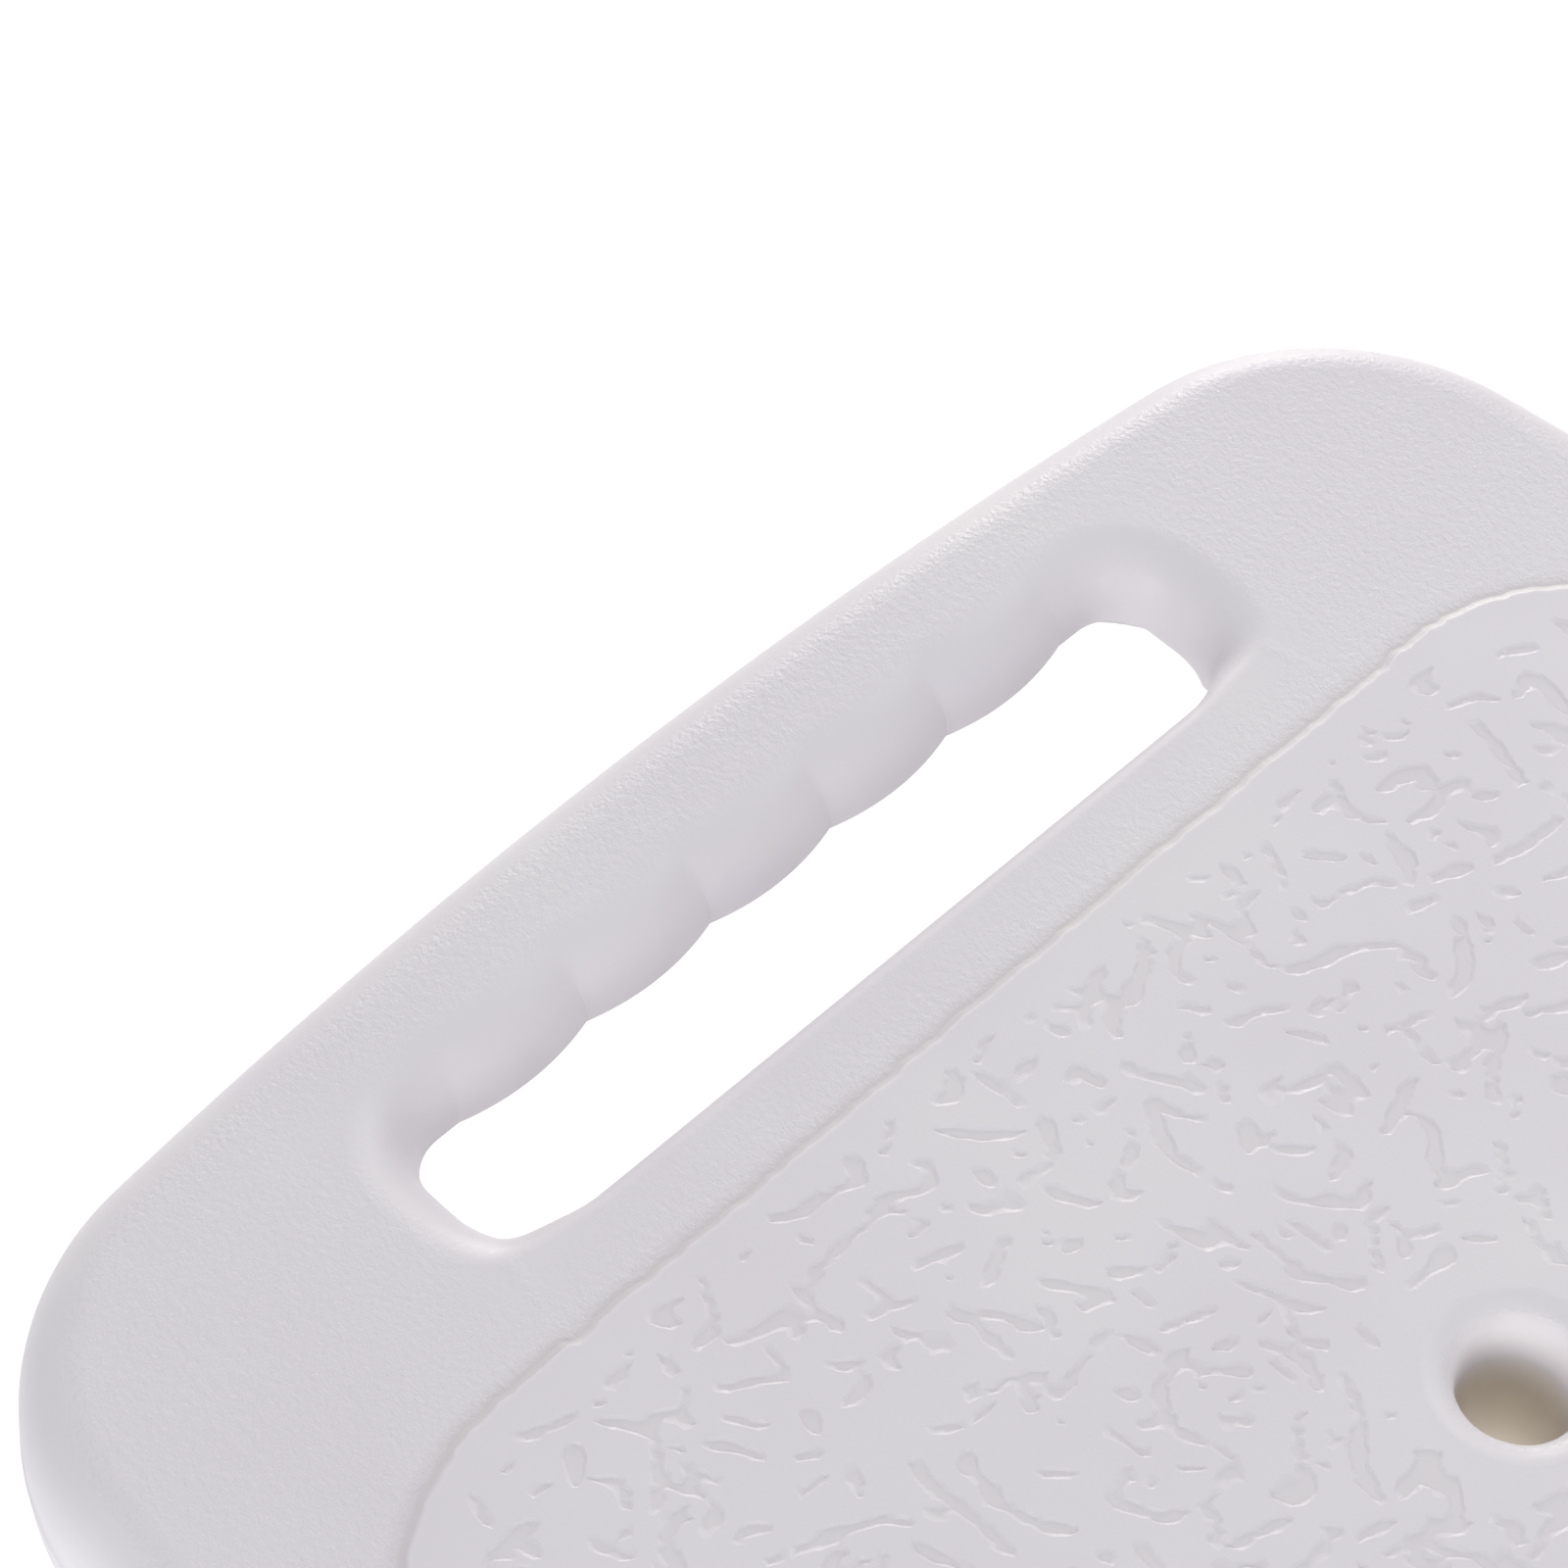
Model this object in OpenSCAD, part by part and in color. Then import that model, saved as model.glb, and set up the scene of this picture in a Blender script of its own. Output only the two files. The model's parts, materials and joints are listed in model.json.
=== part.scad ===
// Bath stool: a hollow moulded seat board with a hand slot at each end, carried by two
// bent tube frames whose four legs adjust in height with snap buttons.
// X runs along the seat, Y across it, Z up. The origin is on the floor under the middle.

/* [Seat board] */
// Length of the seat board, end to end
seat_l = 500; // [440:5:600]
// Width of the seat board across its middle
seat_w = 285; // [265:5:342]
// Thickness of the seat board at its rim
seat_t = 26; // [24:1:34]
// Height of the seating panel above the floor with the legs fully in
seat_h = 365; // [355:5:440]
// Thickness of the moulded wall
seat_wall = 2.5; // [2:0.1:3]
// Plan radius of the curved ends
end_r = 886; // [600:1:1500]
// Plan radius of the curved long sides
side_r = 1800; // [1200:10:3000]
// Plan radius of the corners
corner_r = 41; // [32:1:55]
// Radius of the rolled edges
edge_r = 9; // [5:0.5:11]

/* [Seating panel] */
// How far the seating panel stands above the rim
panel_h = 0.6; // [0.3:0.1:1.5]
// Distance from each end of the board to the panel
panel_end = 62.8; // [58:0.2:80]
// Distance from each long side to the panel, measured at the middle
panel_side = 24.3; // [20:0.1:40]
// Corner radius of the panel
panel_r = 35.3; // [20:0.1:50]

/* [Hand slots] */
// Distance from the end of the board to the notches between the finger lobes
slot_lip = 25.4; // [22:0.1:27]
// Width of the slot from those notches to its straight edge
slot_w = 23.2; // [22:0.1:30]
// Overall length of the slot
slot_l = 128.6; // [126:0.2:150]
// Corner radius on the straight side of the slot
slot_back_r = 14; // [8:0.5:14]
// Corner radius on the finger side of the slot
slot_lip_r = 7; // [4:0.5:7]
// Number of finger lobes
lobe_count = 5; // [3:2:5]
// Spacing of the finger lobes
lobe_pitch = 22; // [18:0.5:23]
// Height of each lobe
lobe_h = 1.6; // [0.8:0.1:2.5]

/* [Drain holes] */
// Radius of each drain hole
drain_r = 7.5; // [4:0.5:9]
// Radius of the funnel mouth of each drain hole
funnel_r = 12.5; // [10:0.5:15]
// Depth of the funnel
funnel_h = 3; // [3:0.5:8]
// Distance of the outer drain holes from the middle of the board
drain_x = 106; // [80:1:115]
// Sideways step of those outer holes, in opposite directions
drain_step = 6.7; // [0:0.1:10]
// Distance of the side drain holes from the middle of the board
drain_y = 64; // [60:1:70]

/* [Frame tubes] */
// Outer diameter of the frame tubes
tube_d = 25.4; // [22:0.1:28]
// Wall of the frame tubes and leg extensions
tube_wall = 1.2; // [1:0.1:1.6]
// Space between a hand slot and the saddles beside it
slot_gap = 1.4; // [1:0.1:15]
// Depth that the tube sits up into the underside of the board
channel_d = 5; // [3:0.5:7]
// Radius of the bends, on the tube's centre line
bend_r = 55; // [45:1:70]
// Half-length of the straight top run of each frame tube
run_y = 80; // [70:1:95]
// Angle that each frame leans out towards the end of the seat
lean = 8; // [4:0.5:10]
// Angle that each leg splays sideways
splay = 6; // [3:0.5:8]

/* [Height adjustment] */
// Number of button holes in each leg
hole_count = 7; // [4:1:7]
// Spacing of the button holes
hole_pitch = 25; // [20:1:26]
// Distance from the bend to the uppermost button hole
hole_start = 30; // [28:1:45]
// Length of tube below the last button hole
hole_tail = 30; // [28:1:45]
// Radius of the snap buttons
button_r = 3.2; // [2.6:0.1:3.6]
// How far a button stands out of the frame tube
button_out = 3.9; // [3:0.1:5]

/* [Saddles] */
// Distance of each saddle from the middle of the top run
saddle_y = 52; // [40:1:60]
// Width of each saddle along the tube
saddle_w = 22; // [16:1:30]
// Thickness of the saddles
saddle_t = 3; // [2:0.5:4]
// Distance of the saddle screws from the tube's centre line
screw_x = 23; // [22:0.5:26]

/* [Cross brace] */
// Width of the flat-oval brace bars
bar_w = 22; // [18:1:26]
// Thickness of the flat-oval brace bars
bar_t = 8; // [7:0.5:10]
// Height of the moulded collar on each leg
collar_h = 20; // [16:1:24]
// Wall of the collar
collar_wall = 4; // [3:0.5:6]

/* [Feet] */
// Radius of the foot tip on the floor
tip_r = 22; // [19:0.5:26]
// Length of the foot tip along the leg
tip_h = 40; // [34:1:50]
// Wall of the foot tip's socket
tip_wall = 4; // [3:0.5:5]

/* [Hidden] */
$fn = 96;
FN_PLAN = 360;   // facets of the long plan curves
fit = 0.3;       // gap between pieces that slide or sit round each other
seated = 0.1;    // gap between pieces pushed hard together
over = 1;        // how far a cut runs past the face that it opens
seam = 0.03;     // step between two curved faces that would otherwise coincide
rim_z = seat_h - panel_h;
under_z = rim_z - seat_t;
tube_r = tube_d / 2;
bore_r = tube_r - tube_wall;
ext_r = bore_r - fit;
ext_bore_r = ext_r - tube_wall;
slot_back = slot_lip + slot_w;
slot_in = seat_l / 2 - slot_back;
boss_r = 8;      // radius of the boss that holds an insert, and of the saddle round its screw
frame_x = slot_in - slot_gap - boss_r - screw_x;
frame_z = under_z + channel_d - tube_r;
channel_r = tube_r + fit;
channel_half = run_y + bend_r / 2;
lobe_r = (pow(lobe_pitch / 2, 2) + lobe_h * lobe_h) / (2 * lobe_h);
drains = [[0, 0], [-drain_x, drain_step], [drain_x, -drain_step], [0, drain_y], [0, -drain_y]];
flute_w = 14;
flute_d = min(12, seat_t - 4 * seat_wall);
flute_gap = 2 * (drain_r + 2 * seat_wall + over) + flute_w;
flute_ys = [-drain_y - flute_gap / 2, -drain_y + flute_gap / 2, drain_y - flute_gap / 2,
    drain_y + flute_gap / 2];
flute_half = frame_x - screw_x - boss_r - flute_w - seat_wall;

// Vent plug, midway between the middle drain hole and the flute beside it
vent_r = 4;
vent_y = (drain_r + flute_ys[2] - flute_w / 2) / 2;
plug_rim = 2.5;  // how far the plug's cap reaches past its hole
plug_cap = 1.2;
plug_tail = 2;   // how far the plug stands inside the board

// Screws, inserts, washers and the nut
insert_r = 4.5;
insert_h = 12;
thread_r = 3;
screw_grip = 9;  // length of screw inside the board
bolt_r = 3;
bolt_tail = 6;   // length of bolt below the lower washer
washer_t = 1.2;
function washer_r(bolt) = 2 * bolt + 0.5;
nut_r = 10 / sqrt(3);
nut_h = 4.8;
nut_dome = 4.4;
nut_bore = 6.4;
rivet_r = 2;
rivet_head = 1.2;
rivet_tail = 2;

// Corner centres of the board, where an end curve and a side curve meet
end_c = seat_l / 2 - end_r;
side_c = seat_w / 2 - side_r;
span = norm([end_c, side_c]);
along = (pow(end_r - corner_r, 2) - pow(side_r - corner_r, 2) + span * span) / (2 * span);
across = sqrt(pow(end_r - corner_r, 2) - along * along);
corner = [end_c - (along * end_c + across * side_c) / span,
    (along * side_c - across * end_c) / span];
end_a = atan2(corner.y, corner.x - end_c);
side_a = atan2(corner.y - side_c, corner.x);

// Distances along a leg are measured down from the end of its bend
drop = bend_r * (1 - sin(splay));
leg_l = hole_start + (hole_count - 1) * hole_pitch + hole_tail;
floor_s = (frame_z / cos(lean) - drop) / cos(splay);
ext_top = hole_start - 20;  // the extension stands this far above its button
ext_end = floor_s - 8;      // and the foot tip's sole is this thick
disc_t = 1.5;
collar_s = leg_l - collar_h / 2;

// Snap button and its spring clip, inside the extension
foot_r = 4.6;
foot_t = 1.2;
foot_x = sqrt(ext_bore_r * ext_bore_r - foot_r * foot_r) - foot_t - fit;
clip_t = 0.8;
clip_w = 7;
clip_fold = 42;  // distance from the button down to the fold
clip_flat = 7;   // half-length of the flat behind the button

// Foot tip
tip_edge = 4;    // height of its upright rim
tip_flare = 9;   // height of the cone above the rim
tip_ring = 8;    // width of the ring that stands on the floor
tip_cup = 1.5;   // depth of the cup inside that ring
groove_d = 0.8;
groove_w = 2;
groove_pitch = 5;
groove_count = 3;

function leg_point(s) = [
    frame_x + sin(lean) * (drop + s * cos(splay)),
    run_y + bend_r * cos(splay) + s * sin(splay),
    frame_z - cos(lean) * (drop + s * cos(splay))];
brace_p = leg_point(collar_s);
brace_z = brace_p.z;
brace_a = atan2(brace_p.y, brace_p.x);
brace_l = norm([brace_p.x, brace_p.y]);
block_end = tube_r + collar_wall + 14;
block_wall = 1.5;
spigot_l = 25;
rivet_x = block_end + spigot_l / 2;

// Places its children at a corner of the stool: sx is -1 on the left, sy is -1 in front
module at_corner(sx, sy) {
    mirror([sx < 0 ? 1 : 0, 0, 0]) mirror([0, sy < 0 ? 1 : 0, 0]) children();
}

// Both ends of the stool, or all four corners
module each_end() {
    for (sx = [-1, 1]) at_corner(sx, 1) children();
}

module each_corner() {
    for (sx = [-1, 1], sy = [-1, 1]) at_corner(sx, sy) children();
}

// The plane of a frame tube, leaned out, with its origin on the top run's centre line
module frame_plane() {
    translate([frame_x, 0, frame_z]) rotate([0, -lean, 0]) children();
}

// A leg's own frame: +X faces outwards, -Z runs down the leg from the end of its bend
module at_leg(sx, sy) {
    at_corner(sx, sy) frame_plane()
        translate([0, run_y + bend_r * cos(splay), -drop]) rotate([splay, 0, 0]) children();
}

// A cylinder down the leg between two distances from the bend
module leg_rod(s0, s1, r) {
    translate([0, 0, -s1]) cylinder(h = s1 - s0, r = r);
}

// ---- Seat board ----

// Section of the rim, a bar of width w with rolled corners, ending at radius out
module rim_section(out) {
    w = 2 * edge_r;
    translate([out - w, 0]) square([w - edge_r, seat_t]);
    for (z = [edge_r, seat_t - edge_r]) translate([out - edge_r, z]) circle(edge_r, $fn = 28);
}

// The rim section turned about a vertical axis through centre
module rim_sweep(centre, radius, start, turn, facets) {
    translate([centre.x, centre.y, under_z]) rotate([0, 0, start])
        rotate_extrude(angle = turn, $fn = facets) rim_section(radius);
}

// The board's outer form, which bulges everywhere, so it is the hull of its own rim
module board() {
    hull() {
        each_end() rim_sweep([end_c, 0], end_r, -end_a, 2 * end_a, FN_PLAN);
        for (sy = [-1, 1]) at_corner(1, sy)
            rim_sweep([0, side_c], side_r, side_a, 180 - 2 * side_a, FN_PLAN);
        each_corner() rim_sweep(corner, corner_r, end_a, side_a - end_a, $fn / 2);
    }
}

// Plan of the board, drawn in by inset all round
module board_plan(inset) {
    r = corner_r - inset;
    reach = [corner.x + r * cos(side_a), corner.y + r * sin(end_a)];
    for (window = [[reach.x, seat_w], [seat_l, reach.y]]) intersection() {
        square(2 * window, center = true);
        curved_field(inset);
    }
    for (sx = [-1, 1], sy = [-1, 1]) translate([sx * corner.x, sy * corner.y]) circle(r - seam);
}

// Where the discs of the two end curves and of the two side curves all overlap
module curved_field(inset) {
    intersection() {
        translate([end_c, 0]) circle(end_r - inset, $fn = FN_PLAN);
        translate([-end_c, 0]) circle(end_r - inset, $fn = FN_PLAN);
        translate([0, side_c]) circle(side_r - inset, $fn = FN_PLAN);
        translate([0, -side_c]) circle(side_r - inset, $fn = FN_PLAN);
    }
}

module seating_panel() {
    half = [seat_l / 2 - panel_end, seat_w / 2 - panel_side];
    translate([0, 0, rim_z - over]) linear_extrude(panel_h + over) {
        square([2 * (half.x - panel_r), 2 * half.y], center = true);
        square([2 * half.x, 2 * (half.y - panel_r)], center = true);
        for (sx = [-1, 1], sy = [-1, 1])
            translate([sx * (half.x - panel_r), sy * (half.y - panel_r)]) circle(panel_r);
    }
}

// Plan of the hand slot at the right end; grow widens it all round for the wall about it
module slot_plan(grow) {
    half = slot_l / 2 + grow;
    x0 = slot_in - grow;
    x1 = seat_l / 2 - slot_lip + grow;
    r0 = slot_back_r + grow;
    r1 = slot_lip_r + grow;
    translate([x0, -half + r0]) square([r0, 2 * (half - r0)]);
    translate([x0 + r0, -half]) square([x1 - r1 - x0 - r0, 2 * half]);
    translate([x1 - r1, -half + r1]) square([r1, 2 * (half - r1)]);
    for (sy = [-1, 1]) {
        translate([x0 + r0, sy * (half - r0)]) circle(r0);
        translate([x1 - r1, sy * (half - r1)]) circle(r1);
    }
}

module finger_lobes() {
    for (i = [0 : lobe_count - 1])
        translate([seat_l / 2 - slot_lip - lobe_h + lobe_r, (i - (lobe_count - 1) / 2) * lobe_pitch])
            circle(lobe_r);
}

module hand_slot() {
    translate([0, 0, under_z - over]) linear_extrude(seat_t + 2 * over) difference() {
        slot_plan(0);
        finger_lobes();
    }
}

module drain(grow) {
    translate([0, 0, under_z - over]) cylinder(h = seat_t + 2 * over, r = drain_r + grow);
    translate([0, 0, seat_h - funnel_h]) cylinder(h = funnel_h, r1 = drain_r + grow, r2 = funnel_r + grow);
}

// A blind channel with round ends, pressed up into the underside
module flute(grow) {
    r = flute_w / 2 + grow;
    translate([0, 0, under_z - over]) linear_extrude(flute_d + over + grow) {
        square([2 * flute_half, 2 * r], center = true);
        for (sx = [-1, 1]) translate([sx * flute_half, 0]) circle(r);
    }
}

module tube_channel(grow) {
    translate([frame_x, 0, frame_z]) rotate([90, 0, 0])
        cylinder(h = 2 * (channel_half + grow), r = channel_r + grow, center = true);
}

// Places its children at the eight saddle screws, at the underside of the board
module at_saddle_screws() {
    each_corner() for (dx = [-screw_x, screw_x])
        translate([frame_x + dx, saddle_y, under_z]) children();
}

// The hollow inside the board; its sides stay clear of the rolled edges
module cavity() {
    inset = edge_r - sqrt(edge_r * edge_r - pow(edge_r - seat_wall, 2)) + seat_wall;
    difference() {
        translate([0, 0, under_z + seat_wall]) linear_extrude(seat_t - 2 * seat_wall) board_plan(inset);
        each_end() translate([0, 0, under_z]) linear_extrude(seat_t) slot_plan(seat_wall);
        for (p = drains) translate(p) drain(seat_wall);
        for (y = flute_ys) translate([0, y, 0]) flute(seat_wall);
        each_end() tube_channel(seat_wall);
        at_saddle_screws() cylinder(h = insert_h + seat_wall, r = boss_r);
    }
}

module seat_board() {
    color([0.92, 0.91, 0.93]) difference() {
        union() {
            board();
            seating_panel();
        }
        cavity();
        each_end() hand_slot();
        for (p = drains) translate(p) drain(0);
        for (y = flute_ys) translate([0, y, 0]) flute(0);
        each_end() tube_channel(0);
        at_saddle_screws() translate([0, 0, -over]) cylinder(h = insert_h + over, r = insert_r + seated);
        translate([0, vent_y, under_z - over]) cylinder(h = seat_wall + 2 * over, r = vent_r + seated);
    }
}

// Cap pushed into the hole that the board was blown through
module vent_plug() {
    color([0.88, 0.87, 0.88]) translate([0, vent_y, under_z]) {
        translate([0, 0, -plug_cap]) cylinder(h = plug_cap, r = vent_r + plug_rim);
        cylinder(h = seat_wall + plug_tail, r = vent_r);
    }
}

module seat_inserts() {
    color("goldenrod") at_saddle_screws() difference() {
        cylinder(h = insert_h - seated, r = insert_r);
        translate([0, 0, -over]) cylinder(h = insert_h - seated, r = thread_r);
    }
}

// ---- Frame tubes ----

// The bent line of a frame tube as a solid of radius r, drawn down a little in its bends
module tube_line(r) {
    rotate([90, 0, 0]) cylinder(h = 2 * (run_y + over), r = r, center = true);
    for (sy = [-1, 1]) mirror([0, sy < 0 ? 1 : 0, 0]) {
        translate([0, run_y, -bend_r]) rotate([90, 0, 90]) rotate([0, 0, splay])
            rotate_extrude(angle = 90 - splay) translate([bend_r, 0]) circle(r - seam);
        translate([0, run_y + bend_r * cos(splay), -drop]) rotate([splay, 0, 0])
            leg_rod(-over, leg_l, r);
    }
}

module frame_tube(sx) {
    color("silver") difference() {
        at_corner(sx, 1) frame_plane() tube_line(tube_r);
        at_corner(sx, 1) frame_plane() tube_line(bore_r);
        for (sy = [-1, 1]) at_leg(sx, sy) {
            leg_rod(leg_l - over, leg_l + over, bore_r);
            for (i = [0 : hole_count - 1])
                translate([0, 0, -hole_start - i * hole_pitch]) rotate([0, 90, 0])
                    cylinder(h = tube_d, r = button_r + fit);
        }
    }
}

module frame_tube_left() {
    frame_tube(-1);
}

module frame_tube_right() {
    frame_tube(1);
}

// ---- Saddles ----

module saddle(sx, sy) {
    plate = 2 * (screw_x + boss_r);
    color("gainsboro") at_corner(sx, sy) translate([frame_x, saddle_y, 0]) difference() {
        union() {
            translate([-plate / 2, -saddle_w / 2, under_z - saddle_t]) cube([plate, saddle_w, saddle_t]);
            intersection() {
                translate([0, 0, frame_z]) rotate([90, 0, 0])
                    cylinder(h = saddle_w, r = channel_r + saddle_t, center = true);
                translate([-tube_d, -saddle_w, under_z - 2 * tube_d])
                    cube([2 * tube_d, 2 * saddle_w, 2 * tube_d]);
            }
        }
        translate([0, 0, frame_z]) rotate([90, 0, 0])
            cylinder(h = saddle_w + 2 * over, r = channel_r, center = true);
        for (dx = [-screw_x, screw_x]) translate([dx, 0, under_z - saddle_t - over])
            cylinder(h = saddle_t + 2 * over, r = thread_r + fit);
    }
}

module saddle_front_left() {
    saddle(-1, -1);
}

module saddle_front_right() {
    saddle(1, -1);
}

module saddle_back_left() {
    saddle(-1, 1);
}

module saddle_back_right() {
    saddle(1, 1);
}

module washer(bolt, gap) {
    difference() {
        cylinder(h = washer_t, r = washer_r(bolt));
        translate([0, 0, -over]) cylinder(h = washer_t + 2 * over, r = bolt + gap);
    }
}

module saddle_washers() {
    color("silver") at_saddle_screws() translate([0, 0, -saddle_t - washer_t]) washer(thread_r, fit);
}

// Dome head with a hexagon socket for a shank of radius r, seat down at z = 0
module socket_head(r) {
    head_h = 0.9 * r;
    head_r = 1.75 * r;
    dome_r = 2.05 * r;
    socket_r = 0.6 * r;
    socket_floor = 0.4 * r;
    difference() {
        intersection() {
            cylinder(h = head_h, r = head_r);
            translate([0, 0, -r]) sphere(dome_r);
        }
        translate([0, 0, socket_floor]) cylinder(h = dome_r, r = socket_r, $fn = 6);
    }
}

module saddle_screws() {
    color("silver") at_saddle_screws() {
        translate([0, 0, -saddle_t - washer_t]) rotate([180, 0, 0]) socket_head(thread_r);
        translate([0, 0, -saddle_t - washer_t])
            cylinder(h = saddle_t + washer_t + screw_grip, r = thread_r - seated);
    }
}

// ---- Cross brace ----

// +X along a brace bar, from the middle of the stool towards the corner (sx, sy)
module brace_line(sx, sy, z) {
    at_corner(sx, sy) translate([0, 0, z]) rotate([0, 0, brace_a]) children();
}

// Flat-oval rod along X between two distances, inset all round by skin
module oval_rod(x0, x1, skin) {
    r = bar_t / 2 - skin;
    for (s = [-1, 1]) translate([x0, s * (bar_w - bar_t) / 2, 0]) rotate([0, 90, 0])
        cylinder(h = x1 - x0, r = r);
    translate([x0, -(bar_w - bar_t) / 2, -r]) cube([x1 - x0, bar_w - bar_t, 2 * r]);
}

// The bar from the front left to the back right lies above the other one
function bar_z(sx, sy) = brace_z + (sx * sy > 0 ? 0.5 : -0.5) * bar_t;

// A sleeve on the leg, with a block that meets the bar's end and a spigot that goes into it
module brace_collar(sx, sy) {
    color("whitesmoke") difference() {
        union() {
            at_leg(sx, sy) leg_rod(leg_l - collar_h, leg_l, tube_r + seated + collar_wall);
            brace_line(sx, sy, bar_z(sx, sy)) {
                oval_rod(brace_l - block_end, brace_l, -block_wall);
                oval_rod(brace_l - block_end - spigot_l, brace_l - block_end + over, tube_wall + seated);
            }
        }
        at_leg(sx, sy) leg_rod(leg_l - 2 * collar_h, leg_l + collar_h, tube_r + seated);
        brace_line(sx, sy, bar_z(sx, sy)) translate([brace_l - rivet_x, 0, 0])
            cylinder(h = 2 * bar_t, r = rivet_r + seated, center = true);
    }
}

module brace_collar_front_left() {
    brace_collar(-1, -1);
}

module brace_collar_front_right() {
    brace_collar(1, -1);
}

module brace_collar_back_left() {
    brace_collar(-1, 1);
}

module brace_collar_back_right() {
    brace_collar(1, 1);
}

// A brace bar through the middle, pointing towards the back corner on side sx
module brace_bar(sx) {
    half = brace_l - block_end;
    color("silver") brace_line(sx, 1, bar_z(sx, 1)) difference() {
        oval_rod(-half, half, 0);
        oval_rod(-half - over, half + over, tube_wall);
        cylinder(h = 2 * bar_t, r = bolt_r + seated, center = true);
        for (s = [-1, 1]) translate([s * (brace_l - rivet_x), 0, 0])
            cylinder(h = 2 * bar_t, r = rivet_r + seated, center = true);
    }
}

module brace_bar_upper() {
    brace_bar(1);
}

module brace_bar_lower() {
    brace_bar(-1);
}

// One rivet at each end of both bars
module brace_rivets() {
    color("silver") for (sx = [-1, 1], sy = [-1, 1])
        brace_line(sx, sy, bar_z(sx, sy)) translate([brace_l - rivet_x, 0, 0]) rivet();
}

module rivet() {
    translate([0, 0, -bar_t / 2]) cylinder(h = bar_t, r = rivet_r);
    translate([0, 0, bar_t / 2]) cylinder(h = rivet_head, r1 = 2 * rivet_r, r2 = 1.4 * rivet_r);
    translate([0, 0, -bar_t / 2 - rivet_tail]) cylinder(h = rivet_tail, r1 = rivet_r, r2 = 1.6 * rivet_r);
}

module brace_bolt() {
    grip = bar_t + washer_t;
    color("silver") translate([0, 0, brace_z]) {
        translate([0, 0, grip]) socket_head(bolt_r);
        translate([0, 0, -grip - bolt_tail]) cylinder(h = 2 * grip + bolt_tail, r = bolt_r);
    }
}

module brace_washers() {
    color("silver") for (z = [bar_t, -bar_t - washer_t])
        translate([0, 0, brace_z + z]) washer(bolt_r, seated);
}

// Dome nut on the lower end of the middle bolt
module brace_nut() {
    color("silver") translate([0, 0, brace_z - bar_t - washer_t]) rotate([180, 0, 0]) difference() {
        union() {
            cylinder(h = nut_h, r = nut_r, $fn = 6);
            translate([0, 0, nut_h]) sphere(nut_dome);
        }
        translate([0, 0, -over]) cylinder(h = nut_bore + over, r = bolt_r + seated);
    }
}

// ---- Legs ----

module leg_extension(sx, sy) {
    color("lightgray") at_leg(sx, sy) difference() {
        leg_rod(ext_top, ext_end, ext_r);
        leg_rod(ext_top - over, ext_end + over, ext_bore_r);
        translate([0, 0, -hole_start]) rotate([0, 90, 0]) cylinder(h = tube_d, r = button_r + seated);
    }
}

module leg_extension_front_left() {
    leg_extension(-1, -1);
}

module leg_extension_front_right() {
    leg_extension(1, -1);
}

module leg_extension_back_left() {
    leg_extension(-1, 1);
}

module leg_extension_back_right() {
    leg_extension(1, 1);
}

// The button's foot stays inside the extension, on the end of the spring clip
module snap_button(sx, sy) {
    tip = tube_r + button_out - button_r;
    color("silver") at_leg(sx, sy) translate([0, 0, -hole_start]) rotate([0, 90, 0]) {
        translate([0, 0, foot_x]) cylinder(h = foot_t, r = foot_r);
        translate([0, 0, foot_x]) cylinder(h = tip - foot_x, r = button_r);
        translate([0, 0, tip]) sphere(button_r);
    }
}

module snap_button_front_left() {
    snap_button(-1, -1);
}

module snap_button_front_right() {
    snap_button(1, -1);
}

module snap_button_back_left() {
    snap_button(-1, 1);
}

module snap_button_back_right() {
    snap_button(1, 1);
}

// A folded steel strip: one arm behind the button, the other against the far wall
module spring_clip(sx, sy) {
    x_near = foot_x - seated;
    x_far = -sqrt(ext_bore_r * ext_bore_r - clip_w * clip_w / 4) + fit;
    color("slategray") at_leg(sx, sy) translate([0, clip_w / 2, -hole_start]) rotate([90, 0, 0])
        linear_extrude(clip_w) polygon([
            [x_near, clip_flat], [x_near, -clip_flat], [clip_t, -clip_fold], [-clip_t, -clip_fold],
            [x_far, -clip_flat], [x_far, clip_flat],
            [x_far + clip_t, clip_flat], [x_far + clip_t, -clip_flat],
            [0, -clip_fold + 2 * clip_t],
            [x_near - clip_t, -clip_flat], [x_near - clip_t, clip_flat]]);
}

module spring_clip_front_left() {
    spring_clip(-1, -1);
}

module spring_clip_front_right() {
    spring_clip(1, -1);
}

module spring_clip_back_left() {
    spring_clip(-1, 1);
}

module spring_clip_back_right() {
    spring_clip(1, 1);
}

// ---- Feet ----

module tip_groove(s) {
    r = ext_r + seated + tip_wall;
    difference() {
        leg_rod(s, s + groove_w, r + over);
        leg_rod(s - over, s + groove_w + over, r - groove_d);
    }
}

module foot_tip(sx, sy) {
    socket = ext_r + seated;
    point = leg_point(floor_s);
    color([0.85, 0.85, 0.86]) difference() {
        union() {
            intersection() {
                at_leg(sx, sy) leg_rod(floor_s - tip_h, floor_s + tip_h, socket + tip_wall);
                at_corner(sx, sy) translate([point.x - tip_h, point.y - tip_h, 0]) cube(2 * tip_h);
            }
            at_corner(sx, sy) translate([point.x, point.y, 0]) {
                cylinder(h = tip_edge, r = tip_r);
                translate([0, 0, tip_edge]) cylinder(h = tip_flare, r1 = tip_r, r2 = socket + tip_wall);
            }
        }
        at_leg(sx, sy) {
            leg_rod(floor_s - tip_h - over, ext_end + disc_t + seated, socket);
            for (i = [1 : groove_count]) tip_groove(floor_s - tip_h + i * groove_pitch);
        }
        at_corner(sx, sy) translate([point.x, point.y, -over])
            cylinder(h = tip_cup + over, r = tip_r - tip_ring);
    }
}

module foot_tip_front_left() {
    foot_tip(-1, -1);
}

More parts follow.
